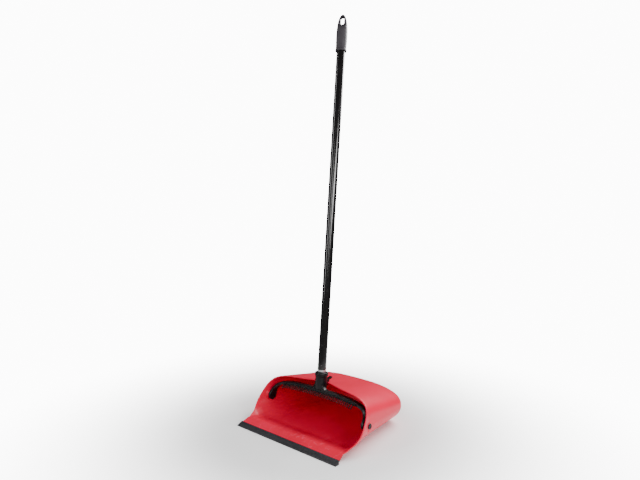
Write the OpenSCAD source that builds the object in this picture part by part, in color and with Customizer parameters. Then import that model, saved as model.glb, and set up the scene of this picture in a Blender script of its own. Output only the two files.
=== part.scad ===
// Long-handled dust pan: a moulded scoop with a rubber lip, and a black bow that carries
// a comb, a catch and a screwed-in metal handle. The bow tilts on two pins in the side walls.
// The origin is on the floor, centred across the pan, a little behind the tilt axis.
// The mouth faces -Y, the rear wall +Y, and Z is up.

/* [Pan] */
// Width of the lip, and of the rubber on it
lip_w = 300; // [240:1:360]
// How far each wing of the mouth stands out beyond the lip
wing_out = 11; // [9:0.5:14]
// How far each side wall stands out beyond the lip at the tilt axis
hinge_out = 5; // [3:0.5:7]
// How far each side wall comes in behind the lip's end at the rear
rear_in = 8; // [4:0.5:16]
// From the front of the lip back to the origin
lip_reach = 123; // [105:1:150]
// From the origin back to the rear wall
tail_reach = 163; // [130:1:200]
// Height of the hood at its front edge
hood_h = 103.5; // [86:0.5:125]
// Height of the hood at the rear wall
tail_h = 80; // [68:1:84]
// Thickness of the moulded walls
wall = 2.6; // [2:0.1:3.2]
// Rounding of the rear wall into the sides and the floor
rear_r = 30; // [22:1:36]
// Rounding of the rear wall into the hood
rear_top_r = 18; // [12:1:22]

/* [Mouth] */
// From the lip back to the widest place of the wings
wing_back = 73; // [60:1:90]
// Rise of the wing edges, per unit of depth
wing_rise = 0.4; // [0.3:0.01:0.6]
// Rise of the cheek edges above the wings, per unit of depth
cheek_rise = 1.25; // [1.1:0.01:1.4]
// Where the cheek edges reach the hood, behind the origin
hood_edge = 3; // [0:1:10]
// Half width of the bay in the hood edge that the socket leans into
bay_half_w = 50; // [40:1:60]
// Clear space between the socket and the hood edge
bay_gap = 2.2; // [2:0.1:5]

/* [Lip] */
// Depth of the rubber lip, front to back
lip_depth = 14.5; // [13:0.1:18]
// Slope of the ramp behind the lip, in degrees
ramp_angle = 24; // [20:1:28]
// From the front of the lip back to the crest of the ramp
ramp_run = 32; // [28:1:38]
// From the crest back to the flat floor
crest_fall = 50; // [40:1:60]
// How far back the moulded floor starts inside the rubber
lip_seat = 8; // [7:0.1:9]
// Rubber over the moulded floor
lip_cover = 1.3; // [1:0.1:1.6]
// Thickness of the rubber at its front edge
lip_tip = 0.8; // [0.6:0.1:1.2]
// Depth of the rubber under the moulded floor
lip_heel = 12; // [11:0.1:14]

/* [Tilt hinge] */
// Height of the tilt axis over the floor
hinge_h = 47; // [42:1:52]
// How far the tilt axis stands in front of the origin
hinge_fore = 12; // [8:0.5:16]
// Diameter of the hinge pins
pin_d = 8; // [6:0.1:10]
// Diameter of the pin heads
pin_head_d = 12.5; // [12:0.1:16]
// Thickness of the pin heads
pin_head_t = 2; // [1.5:0.1:3]
// Diameter of the bosses round the pins
boss_d = 21; // [18:1:24]
// Diametral running clearance of the bow on its pins
pin_play = 0.12; // [0.06:0.01:0.2]
// Side play between each arm and its boss
arm_play = 0.5; // [0.4:0.1:1]

/* [Bow] */
// Lean of the handle towards the rear, in degrees
lean = 5.35; // [4:0.05:7]
// Clear space between the bow and the underside of the hood
bow_gap = 8.5; // [7:0.5:12]
// How far the arms sweep back from the tilt axis to the middle of the bar
bar_back = 12; // [8:0.5:16]
// Thickness of the bar across the top
bar_t = 8; // [7:0.1:10]
// Front to back depth of the bar
bar_depth = 13; // [12:0.5:15]
// Thickness of the two arms
arm_t = 6.5; // [5.5:0.1:8]
// Width of the round arm ends
arm_end_d = 25; // [22:0.5:27]

/* [Comb] */
// How far the row of teeth stops short of each arm
comb_in = 30; // [28:0.1:50]
// Distance from tooth to tooth
tooth_pitch = 5.6; // [5:0.1:7]
// Thickness of one tooth
tooth_t = 2.4; // [2:0.1:3]
// Length of one tooth
tooth_len = 14; // [10:0.5:16]
// Slope of the teeth below level, in degrees
tooth_drop = 36; // [30:1:45]
// Thickness of the strip that carries the teeth
strip_t = 2.4; // [2:0.1:3]
// Height of the strip
strip_h = 6; // [5:0.1:6.5]

/* [Socket] */
// Outside diameter of the socket
socket_d = 28.6; // [26:0.1:31]
// Diameter of the collar round its mouth
collar_d = 32; // [32:0.1:35]
// Height of that collar
collar_h = 9; // [6:0.5:12]
// Mouth of the socket above the tilt axis, along the handle
socket_top = 83.5; // [80:0.5:90]
// Depth of the threaded hole
thread_depth = 30; // [24:1:34]
// Diameter over the thread
thread_d = 19; // [18:0.1:19.6]
// Pitch of the thread
thread_pitch = 4.2; // [3.5:0.1:5]
// Play between the thread's crests and the hole
thread_play = 0.3; // [0.2:0.05:0.5]
// How far the handle's axis stands behind the middle of the bar
handle_set = 5; // [3:0.1:6]

/* [Handle] */
// Outside diameter of the steel tube
tube_d = 20.4; // [20:0.1:22]
// Wall of the steel tube
tube_wall = 0.8; // [0.6:0.1:1.2]
// Length of the steel tube
tube_len = 833; // [600:1:1100]
// Thickness of the plastic sleeve on the tube
sleeve_t = 0.3; // [0.2:0.05:0.5]
// Bare end of the tube that the sleeve leaves
bare_end = 5; // [3:0.5:8]
// Rivet above the end of the tube
rivet_up = 15; // [12:0.5:18]
// Diameter of the rivet heads
rivet_d = 5; // [4:0.1:6]
// Turn of the screwed-in handle about its own axis, in degrees
handle_turn = 29; // [0:1:90]

/* [Grip] */
// Length of the grip
grip_len = 92; // [80:1:120]
// Largest diameter of the grip
grip_d = 28; // [27:0.5:34]
// How far the tube goes into the grip
grip_seat = 56; // [45:1:62]
// Length of the hanging eye
eye_len = 20; // [16:0.5:21]
// Width of the hanging eye
eye_w = 9; // [7:0.5:10]
// Centre of the hanging eye below the tip of the grip
eye_down = 17; // [16:0.5:19]
// Thickness of the flattened tip round the eye
tip_flat = 15; // [12:0.5:20]

/* [Catch] */
// Width of the catch lever
catch_w = 8; // [6:0.5:10]
// Thickness of its thumb pad
catch_t = 3.2; // [2.6:0.1:4]
// Diameter of the catch pin
catch_pin_d = 2.5; // [2:0.1:3]
// Diametral running clearance of the lever on its pin
catch_play = 0.1; // [0.06:0.01:0.18]
// Reach of the thumb pad behind its pin
catch_reach = 18; // [14:0.5:20]
// Diameter of the spring wire
spring_wire = 0.7; // [0.6:0.05:0.9]

/* [Hidden] */
$fn = 64;
eps = 0.01;

red = [0.85, 0.05, 0.12];
black = [0.09, 0.09, 0.1];
rubber_grey = [0.2, 0.22, 0.24];
grip_grey = [0.27, 0.26, 0.28];
steel = [0.78, 0.78, 0.8];

// Widths, heights and depths that several pieces share
wing_w = lip_w + 2 * wing_out;
hinge_w = lip_w + 2 * hinge_out;
rear_w = lip_w - 2 * rear_in;
front_y = -lip_reach;
rear_y = tail_reach;
ramp_slope = tan(ramp_angle);
hood_fall = (hood_h - tail_h) / (tail_reach - hood_edge);
handle_back = bar_back + handle_set;
boss_stand = 5;
arm_x = hinge_w / 2 - wall - boss_stand - arm_play;
comb_half_w = arm_x - arm_t - comb_in;
ear_gap = 0.3;

// Centre of the hood edge: straight behind the socket
bay_y = (hood_h - hinge_h) * tan(lean) + handle_back + socket_d / 2 + bay_gap - hinge_fore;
bay_depth = max(0, (bay_y - hood_edge) * (1 + hood_fall / cheek_rise));
bay_h = hood_h - hood_fall * (bay_y - hood_edge);

// The same point seen along the leaning handle, from the tilt axis
edge_back = (bay_y + hinge_fore) * cos(lean) - (bay_h - hinge_h) * sin(lean);
edge_up = (bay_y + hinge_fore) * sin(lean) + (bay_h - hinge_h) * cos(lean);

// Smooth curve through a short list of [place, value] pairs
function span(t, y, i = 0) = (i >= len(t) - 2 || y < t[i + 1][0]) ? i : span(t, y, i + 1);
function slope_at(t, i) =
    let (a = max(i - 1, 0), b = min(i + 1, len(t) - 1))
    (t[b][1] - t[a][1]) / (t[b][0] - t[a][0]);
function through(t, y) =
    let (i = span(t, y), h = t[i + 1][0] - t[i][0], u = (y - t[i][0]) / h)
    (2 * u ^ 3 - 3 * u ^ 2 + 1) * t[i][1] + (u ^ 3 - 2 * u ^ 2 + u) * h * slope_at(t, i)
    + (3 * u ^ 2 - 2 * u ^ 3) * t[i + 1][1] + (u ^ 3 - u ^ 2) * h * slope_at(t, i + 1);

// How the pan's cross-section changes from the lip to the rear
half_w = [[front_y, lip_w / 2], [front_y + 20, lip_w / 2 + 0.5],
          [front_y + 40, lip_w * 0.25 + wing_w * 0.25 + 0.5], [front_y + wing_back, wing_w / 2],
          [-hinge_fore, hinge_w / 2], [tail_reach / 2, (hinge_w + rear_w) / 4 - 1],
          [rear_y, rear_w / 2]];
flat_w = [[front_y, lip_w / 2 - 1], [front_y + 20, lip_w / 2 - 3], [front_y + 40, lip_w / 2 - 10],
          [front_y + 60, lip_w / 2 - 33], [0, hinge_w / 2 - 55], [rear_y, rear_w / 2 - 54]];
wide_h = [[front_y, 6], [front_y + 20, 12], [front_y + 40, 25], [front_y + wing_back, 42],
          [0, hinge_h - 1], [rear_y, hinge_h - 7]];

// Underside of the floor: flat, with the ramp and its crest at the front
floor_t = wall - 0.2;
crest_y = front_y + ramp_run;
crest_h = lip_tip - lip_cover - floor_t + ramp_slope * ramp_run;
function floor_h(y) =
    y < crest_y ? crest_h - ramp_slope * (crest_y - y)
    : y < crest_y + crest_fall ? crest_h * (1 + cos(180 * (y - crest_y) / crest_fall)) / 2
    : 0;

// Top line of the hood, carried on level in front of its edge
function hood_line(y) = hood_h - hood_fall * (max(y, hood_edge - 25) - hood_edge);

// How far a rounding of radius r has come in at depth y, before an end at y_end
function round_in(y, y_end, r) =
    y <= y_end - r ? 0 : r - sqrt(max(0, r ^ 2 - (y - y_end + r) ^ 2));

// A point of the rounded quarter outline, at angle t, sharper as its power grows
function quarter(t, power) =
    [cos(t), sin(t)] / (cos(t) ^ power + sin(t) ^ power) ^ (1 / power);

// Steps round half of the section: along the floor, up its corner, over to the middle
floor_steps = 4;
corner_steps = 8;
hood_steps = 13;
half_steps = floor_steps + corner_steps + hood_steps;

// The hood's corners are tight over the mouth and round out towards the rear
corner_power = 1.8;
front_power = 3.8;
rear_power = 2.6;
function hood_power(y) =
    front_power + (rear_power - front_power) * max(0, min(1, y / rear_y));

// Right half of the section at depth y, from the middle of the floor (k = 0) to that of the hood
function half_section(k, y, inset) =
    let (r = rear_r - inset,
         side_in = round_in(y, rear_y - inset, r),
         w = through(half_w, y) - inset - side_in,
         base = floor_h(y) + (inset > 0 ? floor_t : 0) + side_in,
         top = hood_line(y) - inset - round_in(y, rear_y - inset, rear_top_r - inset),
         mid = through(wide_h, y),
         flat = min(through(flat_w, y) - side_in, w - 0.5))
    k <= floor_steps ? [flat * k / floor_steps, base]
    : k <= floor_steps + corner_steps
      ? let (q = quarter(90 * (1 - (k - floor_steps) / corner_steps), corner_power))
        [flat + (w - flat) * q[0], mid - (mid - base) * q[1]]
      : let (q = quarter(90 * (k - floor_steps - corner_steps) / hood_steps, hood_power(y)))
        [w * q[0], mid + (top - mid) * q[1]];

// Side view of the mouth's edge: a low run up the wings, blended into a steep one up the cheeks
mouth_blend = 3.9;
function mouth_h(y) =
    let (wing = floor_h(front_y + lip_seat) + wing_rise * (y - front_y - lip_seat),
         cheek = hood_h + cheek_rise * (y - hood_edge))
    max(wing, cheek) + mouth_blend * ln(1 + exp(-abs(wing - cheek) / mouth_blend));

// Depth at which line k of the section meets the mouth's edge, by halving
function mouth_gap(k, y) =
    let (p = half_section(k, y, 0))
    p[1] - mouth_h(y - bay_depth * exp(-(p[0] / bay_half_w) ^ 2) * (k > half_steps - 11 ? 1 : 0));
function mouth_y(k, lo, hi, n) =
    n == 0 ? (lo + hi) / 2
    : mouth_gap(k, (lo + hi) / 2) > 0 ? mouth_y(k, (lo + hi) / 2, hi, n - 1)
    : mouth_y(k, lo, (lo + hi) / 2, n - 1);
rim_y = [for (k = [0 : half_steps])
    k <= floor_steps ? front_y + lip_seat
    : mouth_y(k, front_y + lip_seat, bay_y + 25, 16)];

// Depth of station j on line k, ending with the rounded rear
length_steps = 14;
rear_steps = 6;
all_steps = length_steps + rear_steps;
function station(k, j, inset) =
    let (r = rear_r - inset, start = rear_y - inset - r)
    j <= length_steps ? rim_y[k] + (start - rim_y[k]) * (j / length_steps)
    : start + r * sin(90 * (j - length_steps) / rear_steps);
function shell_point(k, j, inset) =
    let (side = k <= half_steps ? 1 : -1,
         kk = k <= half_steps ? k : 2 * half_steps - k,
         y = station(kk, j, inset),
         p = half_section(kk, y, inset))
    [side * p[0], y, p[1]];

module scoop_skin() {
    ring = 2 * half_steps;
    layer = ring * (all_steps + 1);
    middle = (rear_r + tail_h - rear_top_r) / 2;
    points = concat([for (inset = [0, wall]) for (j = [0 : all_steps]) for (k = [0 : ring - 1])
        shell_point(k, j, inset)], [[0, rear_y, middle], [0, rear_y - wall, middle]]);
    quads = [for (j = [0 : all_steps - 1]) for (k = [0 : ring - 1])
        [j * ring + k, j * ring + (k + 1) % ring,
         (j + 1) * ring + (k + 1) % ring, (j + 1) * ring + k]];
    outer = [for (q = quads) for (f = [[q[0], q[1], q[2]], [q[0], q[2], q[3]]]) f];
    inner = [for (f = outer) [f[2] + layer, f[1] + layer, f[0] + layer]];
    rim = [for (k = [0 : ring - 1]) let (n = (k + 1) % ring)
        for (f = [[k, layer + k, layer + n], [k, layer + n, n]]) f];
    rear = [for (k = [0 : ring - 1])
        let (a = all_steps * ring + k, b = all_steps * ring + (k + 1) % ring)
        for (f = [[a, b, 2 * layer], [layer + b, layer + a, 2 * layer + 1]]) f];
    polyhedron(points, concat(outer, inner, rim, rear), convexity = 8);
}

// A cylinder along X between two places
module across(d, x0, x1) {
    translate([x0, 0, 0])
        rotate([0, 90, 0])
            cylinder(d = d, h = x1 - x0);
}

// Moves a shape onto the leaning handle's frame, with the tilt axis as its origin
module on_handle() {
    translate([0, -hinge_fore, hinge_h])
        rotate([-lean, 0, 0])
            children();
}

// Moves a shape onto the handle's own axis
module on_axis() {
    on_handle()
        translate([0, handle_back, 0])
            children();
}

module both_sides() {
    for (side = [0, 1])
        mirror([side, 0, 0])
            children();
}

pad_x = hinge_w / 2 + 0.9;
notch_back = 6;
notch_w = catch_w + 4;

module pan_shell() {
    color(red)
        difference() {
            union() {
                scoop_skin();
                both_sides()
                    translate([0, -hinge_fore, hinge_h]) {
                        across(boss_d, arm_x + arm_play, hinge_w / 2 - wall / 2);
                        across(pin_head_d + 3, hinge_w / 2 - wall, pad_x);
                    }
            }
            both_sides()
                translate([0, -hinge_fore, hinge_h])
                    across(pin_d, arm_x, pad_x + 1);
            translate([-notch_w / 2, bay_y - 12, bay_h - 12])
                cube([notch_w, 12 + notch_back, 24]);
        }
}

// Rubber wedge on the ramp, with a groove that the moulded floor sits in
module lip_strip() {
    color(rubber_grey)
        translate([-lip_w / 2, front_y, 0])
            rotate([90, 0, 90])
                linear_extrude(lip_w)
                    polygon([
                        [0, 0],
                        [0, lip_tip],
                        [lip_depth, lip_tip + ramp_slope * lip_depth],
                        [lip_depth, lip_tip + ramp_slope * lip_depth - lip_cover],
                        [lip_seat, lip_tip + ramp_slope * lip_seat - lip_cover],
                        [lip_seat, lip_tip + ramp_slope * lip_seat - lip_cover - floor_t],
                        [lip_heel, lip_tip + ramp_slope * lip_heel - lip_cover - floor_t],
                        [lip_heel, 0]]);
}

module hinge_pin() {
    color(black)
        translate([0, -hinge_fore, hinge_h]) {
            across(pin_d, arm_x - arm_t + 1, pad_x + eps);
            translate([pad_x, 0, 0])
                rotate([0, 90, 0])
                    rotate_extrude()
                        polygon([[0, 0], [pin_head_d / 2, 0], [pin_head_d / 2, pin_head_t * 0.5],
                                 [pin_head_d / 2 - 0.7, pin_head_t * 0.85],
                                 [pin_head_d / 2 - 1.6, pin_head_t], [0, pin_head_t]]);
        }
}

module hinge_pin_left() {
    mirror([1, 0, 0])
        hinge_pin();
}

module hinge_pin_right() {
    hinge_pin();
}

// Front view of the bow: half outlines of a given half width and height
bow_power = 3.2;
bow_h = (hood_h - wall - bow_gap - hinge_h) / cos(lean);
bar_front = bar_back - bar_depth / 2;
bar_rear = bar_back + bar_depth / 2;
arch_steps = 18;
function arch(w, h) =
    [for (k = [0 : 2 * arch_steps])
        let (a = 180 * k / (2 * arch_steps), q = quarter(a > 90 ? 180 - a : a, bow_power))
        [(a > 90 ? -1 : 1) * w * q[0], h * q[1]]];
function arch_h(x, w, h) = h * (1 - (abs(x) / w) ^ bow_power) ^ (1 / bow_power);

module arch_plate(w, h) {
    polygon(concat([[w, -arm_end_d]], arch(w, h), [[-w, -arm_end_d]]));
}

module bow() {
    in_w = arm_x - arm_t;
    in_h = bow_h - bar_t;
    flare = 7;
    // The socket ends just above the comb's strip
    foot = in_h + strip_h + 0.3;
    color(black)
        on_handle()
            difference() {
                union() {
                    intersection() {
                        rotate([90, 0, 0])
                            translate([0, 0, -arm_end_d])
                                linear_extrude(2 * arm_end_d)
                                    difference() {
                                        arch_plate(arm_x, bow_h);
                                        arch_plate(in_w, in_h);
                                    }
                        union() {
                            across(arm_end_d, -arm_x - 1, arm_x + 1);
                            translate([-arm_x - 1, 0, 0])
                                rotate([90, 0, 90])
                                    linear_extrude(2 * arm_x + 2)
                                        polygon([[-arm_end_d / 2, 0], [arm_end_d / 2, 0],
                                                 [bar_rear, bow_h * 0.62], [bar_rear, bow_h + 1],
                                                 [bar_front, bow_h + 1], [bar_front, bow_h * 0.62]]);
                        }
                    }
                    translate([0, handle_back, 0]) {
                        translate([0, 0, foot])
                            cylinder(d = socket_d, h = socket_top - foot);
                        translate([0, 0, socket_top - collar_h])
                            cylinder(d = collar_d, h = collar_h);
                    }
                    // Webs that carry the socket into the bar
                    translate([0, bar_rear, 0])
                        rotate([90, 0, 0])
                            linear_extrude(bar_depth)
                                polygon([[-socket_d / 2 - flare, in_h], [socket_d / 2 + flare, in_h],
                                         [socket_d / 2 + flare, bow_h], [socket_d / 2 - 1, bow_h + 14],
                                         [1 - socket_d / 2, bow_h + 14], [-socket_d / 2 - flare, bow_h]]);
                    catch_ears();
                }
                translate([0, handle_back, socket_top - thread_depth])
                    cylinder(d = thread_d + thread_play, h = thread_depth + 1);
                across(pin_d + pin_play, -arm_x - 2, arm_x + 2);
                catch_clearance();
            }
}

// The catch: its pin stands behind the socket, just above the hood edge
catch_y = edge_back + 2.5;
catch_z = edge_up + 4.4;
ear_w = 3;
ear_rise = 1;
hub_d = 6.4;
spring_room = 3.8;

module catch_ears() {
    socket_back = handle_back + socket_d / 2;
    for (side = [-1, 1])
        translate([side * (catch_w + ear_w + 2 * ear_gap) / 2, 0, 0])
            rotate([0, 90, 0])
                translate([0, 0, -ear_w / 2])
                    linear_extrude(ear_w)
                        union() {
                            translate([-catch_z, catch_y])
                                circle(d = hub_d);
                            polygon([[-catch_z - hub_d / 2, handle_back + 4],
                                     [-catch_z - hub_d / 2, catch_y],
                                     [-catch_z + hub_d / 2, catch_y],
                                     [-edge_up - ear_rise, socket_back],
                                     [-edge_up - ear_rise, handle_back + 4]]);
                        }
}

module catch_clearance() {
    translate([0, catch_y, catch_z])
        across(catch_pin_d, -catch_w, catch_w);
}

// Side view of the lever, hub at the origin: thumb pad behind, nose under the hood edge
nose_down = catch_z - edge_up + wall + 1.9;
nose_reach = notch_back + edge_back - catch_y + 2.2;
module catch_lever() {
    pad_rise = 8;
    color(black)
        on_handle()
            translate([0, catch_y, catch_z])
                difference() {
                    union() {
                        across(hub_d - 0.6, -catch_w / 2, catch_w / 2);
                        lever_plate()
                            rotate(pad_rise)
                                polygon([[0, -1.2], [catch_reach, 0.4], [catch_reach + 0.8, 1.6],
                                         [catch_reach, catch_t + 1], [catch_reach - 3.5, catch_t], [0, 2.8]]);
                        lever_plate()
                            polygon([[-1.6, 1], [1.2, 1], [1.2, -nose_down],
                                     [nose_reach, -nose_down - 0.9],
                                     [nose_reach - 1.4, -nose_down - 2.6], [-1.6, -nose_down - 2.2]]);
                    }
                    across(catch_pin_d + catch_play, -catch_w, catch_w);
                    // Pocket for the spring
                    across(hub_d + 0.2, catch_w / 2 - spring_room, catch_w);
                }
}

module lever_plate() {
    rotate([90, 0, 90])
        translate([0, 0, -catch_w / 2])
            linear_extrude(catch_w)
                children();
}

module catch_pin() {
    color(steel)
        on_handle()
            translate([0, catch_y, catch_z])
                across(catch_pin_d, -catch_w / 2 - ear_gap - ear_w, catch_w / 2 + ear_gap + ear_w);
}

// Torsion spring round the pin: three turns, swept as a tube of eight sides
module catch_spring() {
    turns = 3;
    per_turn = 16;
    sides = 8;
    mean_r = catch_pin_d / 2 + spring_wire / 2 + 0.12;
    count = turns * per_turn;
    pitch = spring_wire + 0.12;
    x0 = catch_w / 2 - spring_room + spring_wire;
    points = [for (i = [0 : count]) for (s = [0 : sides - 1])
        let (a = 360 * i / per_turn, b = 360 * s / sides, r = mean_r + spring_wire / 2 * cos(b))
        [x0 + pitch * i / per_turn + spring_wire / 2 * sin(b), r * cos(a), r * sin(a)]];
    skin = [for (i = [0 : count - 1]) for (s = [0 : sides - 1])
        let (a = i * sides + s, b = i * sides + (s + 1) % sides)
        for (f = [[a, b, b + sides], [a, b + sides, a + sides]]) f];
    ends = [[for (s = [sides - 1 : -1 : 0]) s], [for (s = [0 : sides - 1]) count * sides + s]];
    color(steel)
        on_handle()
            translate([0, catch_y, catch_z])
                polyhedron(points, concat(skin, ends), convexity = 6);
}

// Strip and teeth under the front of the bar
comb_steps = 24;
module broom_comb() {
    w = arm_x - arm_t;
    low = bow_h - bar_t;
    band = [for (k = [0 : comb_steps])
        let (x = -comb_half_w - 2 + (2 * comb_half_w + 4) * k / comb_steps)
        [x, arch_h(x, w, low)]];
    teeth = floor(comb_half_w / tooth_pitch);
    color(black)
        on_handle() {
            translate([0, bar_front, 0])
                rotate([90, 0, 0])
                    linear_extrude(strip_t)
                        polygon(concat(band,
                            [for (k = [comb_steps : -1 : 0]) [band[k][0], band[k][1] + strip_h]]));
            for (n = [-teeth : teeth])
                translate([n * tooth_pitch - tooth_t / 2, bar_front, arch_h(n * tooth_pitch, w, low)])
                    rotate([90, 0, 90])
                        linear_extrude(tooth_t)
                            tooth_side();
        }
}

// Side view of one tooth, from its root on the strip to its blunt tip
module tooth_side() {
    dir = [-cos(tooth_drop), -sin(tooth_drop)];
    up = [-dir[1], dir[0]] * -1;
    root = [-strip_t + 0.4, 0];
    polygon([root + [0, strip_h - 0.5], root, root + dir * tooth_len + up * -0.2,
             root + dir * tooth_len + up * 1.6, root + dir * 2 + up * 4]);
}

tube_z = socket_top + 0.6;
tube_end = tube_z + tube_len;

// Plastic end of the handle: a thread that screws into the socket, and a plug inside the tube
module threaded_end() {
    core = thread_d / 2 - 1.2;
    crests = floor((thread_depth - 5) / thread_pitch);
    color(black)
        on_axis()
            translate([0, 0, tube_z]) {
                translate([0, 0, -thread_depth + 1.6])
                    cylinder(r = core, h = thread_depth - 1.6 + eps);
                for (n = [0 : crests - 1])
                    translate([0, 0, -thread_depth + 4 + n * thread_pitch])
                        rotate_extrude()
                            polygon([[core - 1, -1.4], [core, -1.4], [thread_d / 2, -0.5],
                                     [thread_d / 2, 0.5], [core, 1.4], [core - 1, 1.4]]);
                difference() {
                    cylinder(d = tube_d - 2 * tube_wall, h = 32);
                    translate([0, 0, 6])
                        cylinder(d = tube_d - 2 * tube_wall - 5, h = 30);
                    translate([0, 0, rivet_up])
                        rotate([0, 0, handle_turn])
                            rotate([90, 0, 0])
                                translate([0, 0, -tube_d])
                                    cylinder(d = rivet_d / 2, h = 2 * tube_d);
                }
            }
}

module handle_tube() {
    color(steel)
        on_axis()
            difference() {
                translate([0, 0, tube_z])
                    cylinder(d = tube_d, h = tube_len);
                translate([0, 0, tube_z - 1])
                    cylinder(d = tube_d - 2 * tube_wall, h = tube_len + 2);
                rivet_hole();
            }
}

module rivet_hole() {
    translate([0, 0, tube_z + rivet_up])
        rotate([90, 0, handle_turn])
            translate([0, 0, -tube_d])
                cylinder(d = rivet_d / 2, h = 2 * tube_d);
}

module tube_sleeve() {
    color(black)
        on_axis()
            difference() {
                translate([0, 0, tube_z + bare_end])
                    cylinder(d = tube_d + 2 * sleeve_t, h = tube_len - bare_end - 2);
                translate([0, 0, tube_z])
                    cylinder(d = tube_d, h = tube_len + 2);
                rivet_hole();
            }
}

// One rivet right through the tube and the plug, with a low domed head on each side
module end_rivet() {
    seat = tube_d / 2 + sleeve_t;
    color(black)
        on_axis()
            translate([0, 0, tube_z + rivet_up])
                rotate([90, 0, handle_turn]) {
                    translate([0, 0, -seat - 0.3])
                        cylinder(d = rivet_d / 2, h = 2 * seat + 0.6);
                    for (side = [0, 1])
                        mirror([0, 0, side])
                            translate([0, 0, seat])
                                rotate_extrude()
                                    polygon([[0, 0], [rivet_d / 2, 0], [rivet_d / 2 - 0.4, 0.5],
                                             [rivet_d / 4, 0.85], [0, 0.95]]);
                }
}

// Half outline of the grip below its tip: a skirt, a long swell and a round nose
grip_r = grip_d / 2;
nose_len = 58;
function nose_r(z) = grip_r * sqrt(1 - ((nose_len - z) / nose_len) ^ 2.6);
nose_steps = 14;

// Side view of the grip with its tip flattened, as half thicknesses below the tip
module grip_side() {
    waist = grip_len - grip_seat;
    polygon([for (side = [1, -1]) for (p = side > 0
        ? [[grip_r + 1, -grip_len - 1], [grip_r + 1, -waist - 2], [tip_flat / 2, 7 - waist],
           [tip_flat / 2, 1]]
        : [[tip_flat / 2, 1], [tip_flat / 2, 7 - waist], [grip_r + 1, -waist - 2],
           [grip_r + 1, -grip_len - 1]])
        [side * p[0], p[1]]]);
}

module grip() {
    bore_d = tube_d + 2 * sleeve_t;
    color(grip_grey)
        on_axis()
            translate([0, 0, tube_end + grip_len - grip_seat])
                rotate([0, 0, handle_turn])
                    difference() {
                        intersection() {
                            rotate_extrude()
                                polygon(concat(
                                    [[0, -grip_len], [grip_r - 0.5, -grip_len],
                                     [grip_r, -grip_len + 0.8], [grip_r, -grip_len + 4],
                                     [grip_r - 0.9, -grip_len + 6.5]],
                                    [for (k = [0 : nose_steps])
                                        let (z = nose_len * (1 - sin(90 * k / nose_steps)))
                                        [max(0, nose_r(z)), -z]]));
                            rotate([90, 0, 90])
                                translate([0, 0, -grip_d])
                                    linear_extrude(2 * grip_d)
                                        grip_side();
                        }
                        translate([0, 0, -grip_len - 1])
                            cylinder(d = bore_d, h = grip_seat + 1);
                        translate([0, 0, -eye_down])
                            rotate([90, 0, 0])
                                translate([0, 0, -grip_d]) {
                                    for (end = [-1, 1])
                                        translate([0, end * (eye_len - eye_w) / 2, 0])
                                            cylinder(d = eye_w, h = 2 * grip_d);
                                    translate([-eye_w / 2, (eye_w - eye_len) / 2, 0])
                                        cube([eye_w, eye_len - eye_w, 2 * grip_d]);
                                }
                    }
}

pan_shell();
lip_strip();
hinge_pin_left();
hinge_pin_right();
bow();
broom_comb();
catch_lever();
catch_pin();
catch_spring();
threaded_end();
handle_tube();
tube_sleeve();
end_rivet();
grip();
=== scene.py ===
import math

import bpy
import bmesh
import numpy as np
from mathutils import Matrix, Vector


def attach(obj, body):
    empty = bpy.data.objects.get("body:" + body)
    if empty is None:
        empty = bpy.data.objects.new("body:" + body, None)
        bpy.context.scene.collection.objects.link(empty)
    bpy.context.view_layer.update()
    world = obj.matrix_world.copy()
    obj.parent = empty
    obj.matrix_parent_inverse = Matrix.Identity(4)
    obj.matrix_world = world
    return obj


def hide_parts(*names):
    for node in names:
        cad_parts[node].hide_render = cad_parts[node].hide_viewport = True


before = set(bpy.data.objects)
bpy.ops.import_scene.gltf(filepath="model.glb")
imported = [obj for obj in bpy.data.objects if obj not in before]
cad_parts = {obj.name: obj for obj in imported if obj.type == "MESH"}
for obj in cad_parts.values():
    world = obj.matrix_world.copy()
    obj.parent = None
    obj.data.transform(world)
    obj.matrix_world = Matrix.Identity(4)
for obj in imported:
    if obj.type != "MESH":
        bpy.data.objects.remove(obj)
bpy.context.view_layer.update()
print("frame loaded:", len(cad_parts), "nodes")

# Lengths below are millimetres, and a mesh is scaled to metres as it is built.
# x runs across the pan, y from the mouth to the rear, z up from the floor.
millimetre = 0.001

pan = dict(
    lipWidth=300, wingWidth=322, hingeWidth=310, rearWidth=284,
    front=-123, rear=163, hoodHeight=103.5, tailHeight=80, wall=2.6,
    rearRound=30, rearTopRound=18, hingeHeight=47, hingeFore=12,
    wingBack=73, wingRise=0.4, cheekRise=1.25, hoodEdge=3,
    bayHalfWidth=50, bayBack=26.79, blend=3.9,
    cornerPower=1.8, frontPower=3.8, powerDrop=1.2,
    rampAngle=24, rampRun=32, crestFall=50,
    lipSeat=8, lipCover=1.3, lipTip=0.8, lipDepth=14.5, lipHeel=12,
    notchWidth=12, notchBack=6,
    bossDiameter=21, bossFace=147.4, padDiameter=15.5, padFace=155.9,
)

handle = dict(
    lean=5.35, back=17.0, socketTop=83.5, socketDiameter=28.6,
    collarDiameter=32, collarHeight=9, threadHole=19.3, threadDepth=30,
    tubeStart=84.1, tubeLength=833, tubeDiameter=20.4, tubeWall=0.8,
    sleeve=0.3, bareEnd=5, turn=29, rivetUp=15,
)


# Meshes

# Moves points from the leaning handle's own frame, whose origin is on the tilt axis, to the pan's
def leaned(points, back=0.0):
    points = np.asarray(points, float)
    angle = math.radians(handle["lean"])
    y, z = points[..., 1] + back, points[..., 2]
    return np.stack([points[..., 0],
                     y * math.cos(angle) + z * math.sin(angle) - pan["hingeFore"],
                     pan["hingeHeight"] - y * math.sin(angle) + z * math.cos(angle)], axis=-1)


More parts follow.
